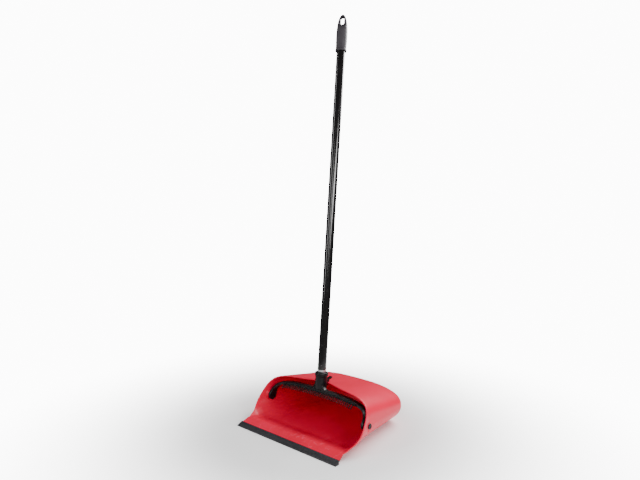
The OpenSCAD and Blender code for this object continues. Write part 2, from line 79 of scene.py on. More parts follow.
# Turns points about the handle's own axis, as far as the screwed-in handle is turned
def screwed(points):
    angle = math.radians(handle["turn"])
    x, y = points[..., 0], points[..., 1]
    return np.stack([x * math.cos(angle) - y * math.sin(angle),
                     x * math.sin(angle) + y * math.cos(angle), points[..., 2]], axis=-1)


# Faces of a grid of rows that each close on themselves
def gridFaces(rows, columns, offset=0):
    row = np.arange(rows - 1)
    column = np.arange(columns)
    r, c = np.meshgrid(row, column, indexing="ij")
    nextRow, nextColumn = r + 1, (c + 1) % columns
    quads = np.stack([r * columns + c, r * columns + nextColumn,
                      nextRow * columns + nextColumn, nextRow * columns + c], axis=-1)
    return (quads.reshape(-1, 4) + offset).tolist()


class Shape:
    def __init__(self):
        self.points = []
        self.faces = []
        self.count = 0

    # Adds a grid (rows, columns, 3); caps names which ends are shut by one flat face
    def grid(self, points, caps=""):
        points = np.asarray(points, float)
        rows, columns = points.shape[:2]
        self.faces += gridFaces(rows, columns, self.count)
        if "start" in caps:
            self.faces.append([self.count + i for i in range(columns)][::-1])
        if "end" in caps:
            last = self.count + (rows - 1) * columns
            self.faces.append([last + i for i in range(columns)])
        self.points.append(points.reshape(-1, 3))
        self.count += rows * columns
        return self

    def build(self, name, body, nodes, slotName, material, bevel=0.0, sharp=40,
              bevelAngle=30, segments=3):
        mesh = bpy.data.meshes.new(name)
        mesh.from_pydata((np.concatenate(self.points) * millimetre).tolist(), [], self.faces)
        return finishMesh(mesh, name, body, nodes, material, bevel, sharp,
                          bevelAngle, segments)


# Welds, turns the faces outwards, shades smooth up to an angle and hands the piece to the frame
def finishMesh(mesh, name, body, nodes, material, bevel=0.0, sharp=40,
               bevelAngle=30, segments=3):
    work = bmesh.new()
    work.from_mesh(mesh)
    bmesh.ops.remove_doubles(work, verts=work.verts, dist=2e-6)
    bmesh.ops.dissolve_degenerate(work, edges=work.edges, dist=1e-7)
    bmesh.ops.recalc_face_normals(work, faces=work.faces)
    work.to_mesh(mesh)
    work.free()
    piece = bpy.data.objects.new(name, mesh)
    bpy.context.scene.collection.objects.link(piece)
    if bevel:
        edge = piece.modifiers.new("edge", "BEVEL")
        edge.width = bevel * millimetre
        edge.segments = segments
        edge.limit_method = "ANGLE"
        edge.angle_limit = math.radians(bevelAngle)
        edge.use_clamp_overlap = True
        applyAll(piece)
    piece.data.polygons.foreach_set("use_smooth", np.ones(len(piece.data.polygons), bool))
    piece.data.set_sharp_from_angle(angle=math.radians(sharp))
    piece.data.materials.clear()
    piece.data.materials.append(material)
    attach(piece, body)
    if nodes:
        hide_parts(*nodes)
    return piece


# A closed body that is cut from, or cuts, another one and is not itself a piece
def solid(points):
    shape = Shape().grid(points, caps="start end")
    mesh = bpy.data.meshes.new("solid")
    mesh.from_pydata((np.concatenate(shape.points) * millimetre).tolist(), [], shape.faces)
    work = bmesh.new()
    work.from_mesh(mesh)
    bmesh.ops.remove_doubles(work, verts=work.verts, dist=1e-6)
    bmesh.ops.recalc_face_normals(work, faces=work.faces)
    work.to_mesh(mesh)
    work.free()
    piece = bpy.data.objects.new("solid", mesh)
    bpy.context.scene.collection.objects.link(piece)
    return piece


def applyAll(piece):
    graph = bpy.context.evaluated_depsgraph_get()
    graph.update()
    done = bpy.data.meshes.new_from_object(piece.evaluated_get(graph))
    piece.modifiers.clear()
    old = piece.data
    piece.data = done
    bpy.data.meshes.remove(old)


# A profile of (radius, height) turned round the z axis
def turned(profile, steps=64):
    profile = np.asarray(profile, float)
    angle = np.linspace(0, 2 * math.pi, steps, endpoint=False)
    radius, height = profile[:, 0, None], profile[:, 1, None]
    return np.stack([radius * np.cos(angle), radius * np.sin(angle),
                     height + 0 * angle], axis=-1)


# The same, turned round an axis along x
def turnedAcross(profile, steps=64):
    points = turned(profile, steps)
    return np.stack([points[..., 2], points[..., 0], points[..., 1]], axis=-1)


# Rounds the corners of an open or closed outline: each corner becomes an arc-like curve,
# a quadratic blend between the points one radius before and after it
def rounded(outline, radii, steps=5, closed=True):
    outline = np.asarray(outline, float)
    count = len(outline)
    radii = np.broadcast_to(np.asarray(radii, float), (count,))
    out = []
    blend = np.linspace(0, 1, steps + 1)[:, None]
    for i in range(count):
        here = outline[i]
        if (not closed and i in (0, count - 1)) or radii[i] == 0:
            out.append(here[None])
            continue
        before, after = outline[i - 1] - here, outline[(i + 1) % count] - here
        a, b = np.linalg.norm(before), np.linalg.norm(after)
        start = here + before / a * min(radii[i], a * 0.49)
        end = here + after / b * min(radii[i], b * 0.49)
        out.append((1 - blend) ** 2 * start + 2 * blend * (1 - blend) * here + blend ** 2 * end)
    return np.concatenate(out)


# An outline in the y-z plane, drawn out along x
def drawnAcross(outline, start, end):
    outline = np.asarray(outline, float)
    stations = np.array([start, end], float)[:, None]
    return np.stack([stations + 0 * outline[:, 0], 0 * stations + outline[:, 0],
                     0 * stations + outline[:, 1]], axis=-1)


# Materials

# Wraps a socket so that shader maths reads as an expression
class Wire:
    def __init__(self, tree, socket):
        self.tree = tree
        self.socket = socket

    def maths(self, operation, *terms):
        return self.make("ShaderNodeMath", dict(operation=operation), dict(enumerate(terms)))

    def make(self, kind, settings=None, values=None, output=0):
        return makeNode(self.tree, kind, settings, values, output)

    def __add__(self, other):
        return self.maths("ADD", self, other)

    __radd__ = __add__

    def __mul__(self, other):
        return self.maths("MULTIPLY", self, other)

    __rmul__ = __mul__

    def __sub__(self, other):
        return self.maths("SUBTRACT", self, other)

    def __rsub__(self, other):
        return self.maths("SUBTRACT", other, self)

    # 0 below low, 1 above high, smooth between
    def between(self, low, high):
        return self.make("ShaderNodeMapRange", dict(interpolation_type="SMOOTHSTEP", clamp=True),
                         {"Value": self, "From Min": low, "From Max": high,
                          "To Min": 0.0, "To Max": 1.0})

    # This value chooses between two colours
    def mixColours(self, first, second):
        return self.make("ShaderNodeMix", dict(data_type="RGBA"),
                         {0: self, 6: first, 7: second}, output=2)


# Any node: its type, its settings, then the values or wires of its sockets
def makeNode(tree, kind, settings=None, values=None, output=0):
    node = tree.nodes.new(kind)
    for key, value in (settings or {}).items():
        setattr(node, key, value)
    for key, value in (values or {}).items():
        if isinstance(value, Wire):
            tree.links.new(value.socket, node.inputs[key])
        else:
            node.inputs[key].default_value = value
    return Wire(tree, node.outputs[output])


def colour(red, green, blue):
    return (red, green, blue, 1.0)


# One material: its tree, object coordinates, and the shader's own uniform values
class Finish:
    def __init__(self, name, **uniform):
        self.material = bpy.data.materials.new(name)
        self.material.use_nodes = True
        self.tree = self.material.node_tree
        self.shader = self.tree.nodes["Principled BSDF"]
        for key, value in uniform.items():
            self.shader.inputs[key.replace("_", " ")].default_value = value
        self.place = makeNode(self.tree, "ShaderNodeTexCoord", output=3)

    def make(self, kind, settings=None, values=None, output=0):
        return makeNode(self.tree, kind, settings, values, output)

    # The place, stretched by a factor along each axis, optionally turned
    def stretched(self, scale, turn=(0, 0, 0)):
        return self.make("ShaderNodeMapping", None,
                         {"Vector": self.place, "Rotation": turn, "Scale": scale})

    def noise(self, scale, detail=3.0, rough=0.5, vector=None):
        return self.make("ShaderNodeTexNoise", None,
                         {"Vector": vector or self.place, "Scale": scale, "Detail": detail,
                          "Roughness": rough})

    def cells(self, scale, vector=None, feature="F1", output=0):
        return self.make("ShaderNodeTexVoronoi", dict(feature=feature),
                         {"Vector": vector or self.place, "Scale": scale}, output)

    def axis(self, which):
        return self.make("ShaderNodeSeparateXYZ", None, {"Vector": self.place}, output=which)

    def bump(self, height, strength, distance, before=None):
        values = {"Height": height, "Strength": strength, "Distance": distance}
        if before:
            values["Normal"] = before
        return self.make("ShaderNodeBump", None, values)

    def feed(self, **wires):
        for key, wire in wires.items():
            self.tree.links.new(wire.socket, self.shader.inputs[key.replace("_", " ")])
        return self.material


# Scratch mask: thin bright lines where stretched noise crosses its middle value
def scratches(finish, scale, stretch, width, turn=(0, 0, 0), thinning=0.5):
    lines = finish.noise(scale, 2.0, 0.5, finish.stretched(stretch, turn))
    line = 1 - (lines - 0.5).maths("ABSOLUTE", lines - 0.5).between(0.0, width)
    patches = finish.noise(scale * 0.12, 2.0).between(thinning, thinning + 0.12)
    return line * patches


def redPlastic():
    look = dict(base=(0.78, 0.003, 0.048), deep=(0.68, 0.002, 0.034), scuff=(0.88, 0.10, 0.17),
                roughness=0.33, grain=5200, dust=(0.62, 0.20, 0.18))
    finish = Finish("redPlastic", IOR=1.49, Specular_IOR_Level=0.32, Subsurface_Weight=0.06,
                    Subsurface_Scale=0.004)
    finish.shader.inputs["Subsurface Radius"].default_value = (1.0, 0.12, 0.1)
    flow = finish.noise(9.0, 4.0, 0.6, finish.stretched((1.0, 0.45, 1.0)))
    tone = flow.between(0.3, 0.7).mixColours(colour(*look["base"]), colour(*look["deep"]))
    height = finish.axis(2)
    along = finish.axis(1)
    low = 1 - height.between(0.012, 0.05)
    forward = 1 - along.between(-0.11, -0.03)
    drag = scratches(finish, 60.0, (1.0, 0.12, 1.0), 0.012, (0, 0, 0.12), 0.45)
    fine = scratches(finish, 130.0, (0.25, 1.0, 1.0), 0.008, (0, 0.2, 0.5), 0.55)
    marks = ((drag * low * 0.5) * (0.4 + forward) + fine * 0.14)
    tone = marks.mixColours(tone, colour(*look["scuff"]))
    specks = 1 - finish.cells(420.0).between(0.05, 0.16)
    dustPatch = finish.noise(22.0, 4.0, 0.65).between(0.56, 0.75)
    dusty = specks * dustPatch * low * 0.35
    tone = dusty.mixColours(tone, colour(*look["dust"]))
    grain = finish.noise(look["grain"], 2.0, 0.6)
    soft = finish.noise(38.0, 3.0, 0.5)
    roughness = look["roughness"] + (soft - 0.5) * 0.12 + marks * 0.25 + dusty * 0.4 \
        + (grain - 0.5) * 0.05
    normal = finish.bump(soft, 0.10, 0.0016)
    normal = finish.bump(grain, 0.16, 0.00006, normal)
    normal = finish.bump(marks * -1.0, 0.3, 0.00004, normal)
    return finish.feed(Base_Color=tone, Roughness=roughness, Normal=normal)


def lipRubber():
    look = dict(base=(0.018, 0.018, 0.021), light=(0.032, 0.032, 0.037), dust=(0.11, 0.10, 0.10),
                roughness=0.58)
    finish = Finish("lipRubber", IOR=1.5, Specular_IOR_Level=0.25)
    streak = finish.noise(46.0, 4.0, 0.6, finish.stretched((0.10, 1.0, 1.0)))
    tone = streak.between(0.32, 0.70).mixColours(colour(*look["base"]), colour(*look["light"]))
    edge = 1 - finish.axis(1).between(-0.1232, -0.1195)
    powder = finish.noise(240.0, 4.0, 0.7).between(0.45, 0.72)
    dusty = powder * (0.16 + edge * 0.45)
    tone = dusty.mixColours(tone, colour(*look["dust"]))
    ribs = (finish.axis(1) * 6200.0).maths("SINE", finish.axis(1) * 6200.0)
    pores = finish.noise(2600.0, 2.0, 0.6)
    roughness = look["roughness"] + (powder - 0.5) * 0.14 + dusty * 0.3
    normal = finish.bump(ribs, 0.25, 0.00012)
    normal = finish.bump(pores, 0.35, 0.00008, normal)
    return finish.feed(Base_Color=tone, Roughness=roughness, Normal=normal)


def blackPlastic(name, base, light, roughness, scuffing):
    finish = Finish(name, IOR=1.49, Specular_IOR_Level=0.3)
    cloud = finish.noise(26.0, 4.0, 0.6)
    tone = cloud.between(0.35, 0.72).mixColours(colour(*base), colour(*light))
    rub = scratches(finish, 95.0, (1.0, 0.3, 0.3), 0.012, (0.3, 0.1, 0.4), 0.5)
    tone = (rub * scuffing).mixColours(tone, colour(0.11, 0.11, 0.115))
    specks = (1 - finish.cells(620.0).between(0.04, 0.15)) \
        * finish.noise(50.0, 2.0).between(0.55, 0.7)
    tone = (specks * 0.3).mixColours(tone, colour(0.16, 0.15, 0.14))
    grain = finish.noise(4200.0, 2.0, 0.6)
    wave = finish.noise(70.0, 2.0, 0.5)
    level = roughness + (cloud - 0.5) * 0.14 + rub * 0.2 + (grain - 0.5) * 0.08
    normal = finish.bump(wave, 0.12, 0.0008)
    normal = finish.bump(grain, 0.28, 0.00007, normal)
    return finish.feed(Base_Color=tone, Roughness=level, Normal=normal)


def bareSteel():
    finish = Finish("bareSteel", IOR=2.5)
    rings = finish.noise(900.0, 3.0, 0.6, finish.stretched((0.06, 0.06, 1.0)))
    stain = finish.noise(60.0, 4.0, 0.6).between(0.5, 0.75)
    tone = rings.between(0.3, 0.7).mixColours(colour(0.74, 0.74, 0.75), colour(0.58, 0.58, 0.60))
    tone = (stain * 0.35).mixColours(tone, colour(0.34, 0.31, 0.28))
    roughness = 0.20 + rings * 0.14 + stain * 0.16
    normal = finish.bump(rings, 0.25, 0.00005)
    finish.shader.inputs["Metallic"].default_value = 1.0
    return finish.feed(Base_Color=tone, Roughness=roughness, Normal=normal)


def sleeveSkin():
    finish = Finish("sleeveSkin", IOR=1.5, Coat_Weight=0.35, Coat_Roughness=0.08)
    cloud = finish.noise(14.0, 4.0, 0.6, finish.stretched((1.0, 1.0, 0.3)))
    tone = cloud.between(0.35, 0.7).mixColours(colour(0.0045, 0.004, 0.0045),
                                               colour(0.008, 0.0072, 0.0078))
    drawn = finish.noise(420.0, 3.0, 0.6, finish.stretched((1.0, 1.0, 0.02)))
    nicks = scratches(finish, 150.0, (1.0, 1.0, 0.18), 0.010, (0.2, 0.1, 0), 0.56)
    tone = (nicks * 0.3).mixColours(tone, colour(0.10, 0.095, 0.10))
    wear = 1 - finish.axis(2).between(0.14, 0.42)
    prints = finish.noise(36.0, 5.0, 0.6).between(0.5, 0.72)
    roughness = 0.15 + wear * 0.07 + (drawn - 0.5) * 0.08 + nicks * 0.25 + prints * 0.06
    normal = finish.bump(drawn, 0.12, 0.00005)
    normal = finish.bump(finish.noise(55.0, 2.0), 0.05, 0.0006, normal)
    return finish.feed(Base_Color=tone, Roughness=roughness, Normal=normal)


def gripPlastic():
    finish = Finish("gripPlastic", IOR=1.48)
    cloud = finish.noise(40.0, 4.0, 0.65)
    tone = cloud.between(0.3, 0.72).mixColours(colour(0.042, 0.037, 0.044),
                                               colour(0.060, 0.053, 0.062))
    polish = finish.noise(26.0, 3.0, 0.5).between(0.46, 0.7)
    tone = (polish * 0.3).mixColours(tone, colour(0.034, 0.030, 0.036))
    pebble = finish.cells(1500.0, feature="SMOOTH_F1")
    grain = finish.noise(3600.0, 2.0, 0.6)
    roughness = 0.50 - polish * 0.12 + (grain - 0.5) * 0.10
    normal = finish.bump(pebble, 0.22, 0.00018)
    normal = finish.bump(grain, 0.25, 0.00008, normal)
    return finish.feed(Base_Color=tone, Roughness=roughness, Normal=normal)


def darkRivet():
    finish = Finish("darkRivet", IOR=2.0)
    finish.shader.inputs["Metallic"].default_value = 0.8
    worn = finish.noise(700.0, 3.0, 0.6).between(0.5, 0.7)
    tone = worn.mixColours(colour(0.035, 0.034, 0.037), colour(0.16, 0.155, 0.16))
    roughness = 0.34 + worn * 0.12
    normal = finish.bump(finish.noise(1500.0, 2.0), 0.2, 0.00006)
    return finish.feed(Base_Color=tone, Roughness=roughness, Normal=normal)


# The floor fades out with distance, so it has no edge and no horizon
def paleFloor():
    finish = Finish("paleFloor", IOR=1.45, Specular_IOR_Level=0.2)
    across, along = finish.axis(0), finish.axis(1)
    away = (across * across + along * along).maths("SQRT", across * across + along * along)
    fade = 1 - away.between(0.20, 0.85)
    cloud = finish.noise(1.4, 3.0)
    tone = cloud.between(0.3, 0.7).mixColours(colour(0.93, 0.93, 0.93), colour(0.95, 0.95, 0.95))
    roughness = 0.72 + finish.noise(30.0, 2.0) * 0.1
    return finish.feed(Base_Color=tone, Roughness=roughness, Alpha=fade)


red = redPlastic()
rubber = lipRubber()
black = blackPlastic("blackPlastic", (0.004, 0.004, 0.0046), (0.008, 0.008, 0.0088), 0.30, 0.35)
combBlack = blackPlastic("combPlastic", (0.0045, 0.0045, 0.005), (0.009, 0.009, 0.0098), 0.36, 0.25)
steel = bareSteel()
skin = sleeveSkin()
gripFinish = gripPlastic()
rivetFinish = darkRivet()
print("materials made")


# The scoop

# Smooth curve through (place, value) pairs: cubic pieces whose slope at a pair
# is that of the line between its two neighbours
def through(table, y):
    table = np.asarray(table, float)
    place, value = table[:, 0], table[:, 1]
    index = np.arange(len(table))
    before, after = np.maximum(index - 1, 0), np.minimum(index + 1, len(table) - 1)
    slope = (value[after] - value[before]) / (place[after] - place[before])
    i = np.clip(np.searchsorted(place, y, side="right") - 1, 0, len(table) - 2)
    width = place[i + 1] - place[i]
    u = (y - place[i]) / width
    return ((2 * u ** 3 - 3 * u ** 2 + 1) * value[i] + (u ** 3 - 2 * u ** 2 + u) * width * slope[i]
            + (3 * u ** 2 - 2 * u ** 3) * value[i + 1] + (u ** 3 - u ** 2) * width * slope[i + 1])


lip, wing, hinge, rearW = (pan[k] for k in ("lipWidth", "wingWidth", "hingeWidth", "rearWidth"))
front, rear = pan["front"], pan["rear"]
halfWidths = [[front, lip / 2], [front + 20, lip / 2 + 0.5], [front + 40, lip / 4 + wing / 4 + 0.5],
              [front + pan["wingBack"], wing / 2], [-pan["hingeFore"], hinge / 2],
              [rear / 2, (hinge + rearW) / 4 - 1], [rear, rearW / 2]]
flatWidths = [[front, lip / 2 - 1], [front + 20, lip / 2 - 3], [front + 40, lip / 2 - 10],
              [front + 60, lip / 2 - 33], [0, hinge / 2 - 55], [rear, rearW / 2 - 54]]
widestHeights = [[front, 6], [front + 20, 12], [front + 40, 25], [front + pan["wingBack"], 42],
                 [0, pan["hingeHeight"] - 1], [rear, pan["hingeHeight"] - 7]]

rampSlope = math.tan(math.radians(pan["rampAngle"]))
floorThick = pan["wall"] - 0.2
crestAt = front + pan["rampRun"]
crestHeight = pan["lipTip"] - pan["lipCover"] - floorThick + rampSlope * pan["rampRun"]
hoodFall = (pan["hoodHeight"] - pan["tailHeight"]) / (rear - pan["hoodEdge"])


# Underside of the floor: a straight ramp up to the crest, then half a cosine down to the flat
def floorHeight(y):
    ramp = crestHeight - rampSlope * (crestAt - y)
    fall = crestHeight * (1 + np.cos(np.pi * np.clip((y - crestAt) / pan["crestFall"], 0, 1))) / 2
    return np.where(y < crestAt, ramp, fall)


def hoodLine(y):
    return pan["hoodHeight"] - hoodFall * (np.maximum(y, pan["hoodEdge"] - 25) - pan["hoodEdge"])


# How far a rounding of some radius has come in at y, before an end
def roundIn(y, end, radius):
    past = np.clip(y - end + radius, 0, radius)
    return radius - np.sqrt(np.maximum(0, radius ** 2 - past ** 2))


# A rounded quarter: |x|^p + |y|^p = 1, a sharper corner as p grows
def quarter(angle, power):
    c, s = np.cos(angle), np.sin(angle)
    length = (np.abs(c) ** power + np.abs(s) ** power) ** (1 / power)
    return c / length, s / length


grid = dict(floor=26, corner=30, hood=64, length=78, rear=20, cap=7, rim=8)
halfSteps = grid["floor"] + grid["corner"] + grid["hood"]
lineIndex = np.arange(halfSteps + 1)
floorShare = np.clip(lineIndex / grid["floor"], 0, 1)
cornerAngle = np.pi / 2 * (1 - np.clip((lineIndex - grid["floor"]) / grid["corner"], 0, 1))
hoodAngle = np.pi / 2 * np.clip((lineIndex - grid["floor"] - grid["corner"]) / grid["hood"], 0, 1)
isFloor = lineIndex <= grid["floor"]
isHood = lineIndex > grid["floor"] + grid["corner"]


# Right half of the section at y: the floor, a rounded corner, then a rounded quarter
# over to the middle
def halfSection(y, inset):
    radius = pan["rearRound"] - inset
    sideIn = roundIn(y, rear - inset, radius)
    width = through(halfWidths, y) - inset - sideIn
    base = floorHeight(y) + floorThick * inset / pan["wall"] + sideIn
    top = hoodLine(y) - inset - roundIn(y, rear - inset, pan["rearTopRound"] - inset)
    middle = through(widestHeights, y)
    flat = np.minimum(through(flatWidths, y) - sideIn, width - 0.5)
    cornerX, cornerZ = quarter(cornerAngle, pan["cornerPower"])
    power = pan["frontPower"] - pan["powerDrop"] * np.clip(y / rear, 0, 1)
    hoodX, hoodZ = quarter(hoodAngle, power)
    x = np.where(isFloor, flat * floorShare,
                 np.where(isHood, width * hoodX, flat + (width - flat) * cornerX))
    z = np.where(isFloor, base,
                 np.where(isHood, middle + (top - middle) * hoodZ,
                          middle - (middle - base) * cornerZ))
    return x, z


# Side view of the mouth's edge: the greater of a low wing line and a steep cheek line, blended
def mouthHeight(y):
    start = front + pan["lipSeat"]
    wingLine = floorHeight(np.array(float(start))) + pan["wingRise"] * (y - start)
    cheekLine = pan["hoodHeight"] + pan["cheekRise"] * (y - pan["hoodEdge"])
    blend = pan["blend"]
    return np.maximum(wingLine, cheekLine) \
        + blend * np.log1p(np.exp(-np.abs(wingLine - cheekLine) / blend))


# How far the mouth's edge is set back in the middle, so that it meets the falling hood at bayBack
bayDepth = (pan["bayBack"] - pan["hoodEdge"]) * (1 + hoodFall / pan["cheekRise"])


# Where each line of the section meets the mouth's edge, by halving
def rimLine():
    low = np.full(halfSteps + 1, float(front + pan["lipSeat"]))
    high = np.full(halfSteps + 1, pan["bayBack"] + 25.0)
    share = np.clip((lineIndex - (halfSteps - 52)) / 6, 0, 1)
    for _ in range(40):
        y = (low + high) / 2
        x, z = halfSection(y, 0.0)
        bay = bayDepth * np.exp(-(x / pan["bayHalfWidth"]) ** 2) * share
        inside = z - mouthHeight(y - bay) > 0
        low, high = np.where(inside, y, low), np.where(inside, high, y)
    return np.where(isFloor, front + pan["lipSeat"], (low + high) / 2)


rim = rimLine()


# All stations of one skin, from the mouth's edge to the rear: (stations, lines, 3)
def skinRows(inset, start):
    radius = pan["rearRound"] - inset
    turnIn = rear - inset - radius
    along = np.linspace(0, 1, grid["length"] + 1)[:, None]
    straight = start + (turnIn - start) * along
    turn = np.sin(np.pi / 2 * np.arange(1, grid["rear"] + 1) / grid["rear"])[:, None]
    y = np.concatenate([straight, turnIn + radius * turn + 0 * start])
    x, z = halfSection(y, inset)
    return np.stack([x, y, z], axis=-1)


def bothHalves(rows):
    left = rows[:, -2:0:-1] * np.array([-1, 1, 1])
    return np.concatenate([rows, left], axis=1)


def scoopRows():
    wall = pan["wall"]
    lead = wall * 0.45
    start = rim + lead
    outer, inner = skinRows(0.0, start), skinRows(wall, start)
    angle = np.linspace(0, np.pi, grid["rim"] + 1)[1:-1, None, None]
    middle, half = (outer[0] + inner[0]) / 2, (outer[0] - inner[0]) / 2
    edge = middle + half * np.cos(angle) - np.array([0, lead, 0]) * np.sin(angle)
    shrink = np.linspace(1, 0, grid["cap"] + 1)[1:, None, None]
    height = (pan["rearRound"] + pan["tailHeight"] - pan["rearTopRound"]) / 2
    outerCap = outer[-1] * shrink + np.array([0, rear, height]) * (1 - shrink)
    innerCap = inner[-1] * shrink + np.array([0, rear - wall, height]) * (1 - shrink)
    rows = np.concatenate([outerCap[::-1], outer[::-1], edge, inner, innerCap])
    return bothHalves(rows)


def cutNotch(piece):
    half, back = pan["notchWidth"] / 2, pan["bayBack"] + pan["notchBack"]
    outline = rounded([[-half, back - 25], [half, back - 25], [half, back], [-half, back]],
                      [0, 0, 1.6, 1.6])
    heights = np.array([84.0, 112.0])[:, None]
    cutter = solid(np.stack([outline[:, 0] + 0 * heights, outline[:, 1] + 0 * heights,
                             heights + 0 * outline[:, 0]], axis=-1))
    cut = piece.modifiers.new("notch", "BOOLEAN")
    cut.operation, cut.solver, cut.object = "DIFFERENCE", "EXACT", cutter
    applyAll(piece)
    bpy.data.objects.remove(cutter)


scoop = Shape().grid(scoopRows()).build("scoop", "pan", ["pan_shell"], "red_plastic", red, sharp=48)
cutNotch(scoop)
scoop.data.set_sharp_from_angle(angle=math.radians(48))


# Boss inside each wall and flat pad outside it, both with a small root fillet and a rounded edge
def hingeSeats():
    for side, word in ((1, "Right"), (-1, "Left")):
        wallIn = pan["hingeWidth"] / 2 - 1.2
        radius = pan["bossDiameter"] / 2
        boss = [[0, wallIn], [radius + 2.4, wallIn], [radius + 1.2, wallIn - 0.9],
                [radius + 0.35, wallIn - 2.0], [radius, wallIn - 3.2],
                [radius, pan["bossFace"] + 0.9], [radius - 0.3, pan["bossFace"] + 0.3],
                [radius - 0.9, pan["bossFace"]], [0, pan["bossFace"]]]
        outIn, outer = pan["hingeWidth"] / 2 - 1.4, pan["padDiameter"] / 2
        pad = [[0, outIn], [outer + 1.6, outIn], [outer + 1.3, outIn + 1.25],
               [outer + 0.5, outIn + 1.6], [outer, pan["padFace"] - 0.45],
               [outer - 0.15, pan["padFace"] - 0.12], [outer - 0.45, pan["padFace"]],
               [0, pan["padFace"]]]
        for profile, what in ((boss, "boss"), (pad, "pad")):
            points = turnedAcross(profile, 72) * np.array([side, 1, 1])
            points += [0, -pan["hingeFore"], pan["hingeHeight"]]
            Shape().grid(points).build(what + word, "pan", ["pan_shell"], "red_plastic", red,
                                       sharp=50)


hingeSeats()
print("scoop made")


# The rubber lip

def rubberLip():
    tip, depth, cover = pan["lipTip"], pan["lipDepth"], pan["lipCover"]
    seat, heel = pan["lipSeat"], pan["lipHeel"]

    def top(at):
        return tip + rampSlope * at

    # Three shallow grooves run along the top face
    grooves = []
    for middle in (4.4, 6.6, 8.8):
        grooves += [[middle - 0.45, top(middle - 0.45)], [middle, top(middle) - 0.3],
                    [middle + 0.45, top(middle + 0.45)]]
    outline = [[0, 0], [0, tip]] + grooves + [
        [depth, top(depth)], [depth, top(depth) - cover], [seat, top(seat) - cover],
        [seat, top(seat) - cover - floorThick], [heel, top(heel) - cover - floorThick], [heel, 0]]
    radii = [0.3, 0.35] + [0.2, 0.25, 0.2] * 3 + [0.5, 0.2, 0, 0, 0.3, 0.3]
    outline = rounded(outline, radii, 3) + np.array([front, 0])
    Shape().grid(drawnAcross(outline, -lip / 2, lip / 2), caps="start end").build(
        "rubberLip", "pan", ["lip_strip"], "lip_rubber", rubber, bevel=0.35, sharp=35,
        bevelAngle=60, segments=3)


rubberLip()


# Hinge pins

def hingePins():
    pin = dict(diameter=8, head=12.5, thick=2, inner=141.9)
    r, h = pin["diameter"] / 2, pin["head"] / 2
    face = pan["padFace"]
    profile = [[0, pin["inner"]], [r - 0.5, pin["inner"]], [r, pin["inner"] + 0.5],
               [r, face + 0.02], [h - 0.25, face + 0.02], [h, face + 0.25],
               [h, face + pin["thick"] * 0.45], [h - 0.25, face + pin["thick"] * 0.72],
               [h - 0.8, face + pin["thick"] * 0.93], [h - 1.6, face + pin["thick"]],
               [h - 2.3, face + pin["thick"]], [h - 2.6, face + pin["thick"] - 0.2],
               [h - 2.9, face + pin["thick"] - 0.7], [h - 3.4, face + pin["thick"] - 0.8],
               [0, face + pin["thick"] - 0.8]]
    for side, word in ((1, "right"), (-1, "left")):
        points = turnedAcross(profile, 64) * np.array([side, 1, 1])
        points += [0, -pan["hingeFore"], pan["hingeHeight"]]
        Shape().grid(points).build("hingePin" + word.capitalize(), "pan", ["hinge_pin_" + word],
                                   "black_plastic", black, sharp=40)


hingePins()
print("lip and pins made")


# The bow

bow = dict(armFace=146.9, armThick=6.5, barThick=8, barDepth=13, barBack=12, armEnd=25,
           power=3.2, gap=8.5, edge=1.5, rows=132, endRows=18, stripHeight=6, stripThick=2.4,
           flare=7)
bow["height"] = (pan["hoodHeight"] - pan["wall"] - bow["gap"] - pan["hingeHeight"]) \
    / math.cos(math.radians(handle["lean"]))
innerHalf = bow["armFace"] - bow["armThick"]
innerHeight = bow["height"] - bow["barThick"]


# Half depth and middle of the bow at a height: a circle round the pin, an eased taper that
# sweeps back, then the bar's own depth
def bowDepth(z):
    end, bar, taper = bow["armEnd"] / 2, bow["barDepth"] / 2, bow["height"] * 0.62
    circle = np.sqrt(np.maximum(0, end ** 2 - np.minimum(z, 0) ** 2))
    share = np.clip(z / taper, 0, 1)
    share = share * share * (3 - 2 * share)
    return np.where(z < 0, circle, end + (bar - end) * share), bow["barBack"] * share


# Rounded rectangle as (across, along) pairs in -1..1, its corners rounded by edge over a size
def roundedSection(acrossSize, alongSize, edge, steps=5):
    a, b = edge / (acrossSize / 2), edge / (alongSize / 2)
    angle = np.linspace(0, np.pi / 2, steps + 1)
    out = []
    for signA, signB, flip in ((1, 1, False), (-1, 1, True), (-1, -1, False), (1, -1, True)):
        s = signA * (1 - a * (1 - np.cos(angle)))
        t = signB * (1 - b * (1 - np.sin(angle)))
        pair = np.stack([s, t], axis=-1)
        out.append(pair[::-1] if flip else pair)
    return np.concatenate(out)


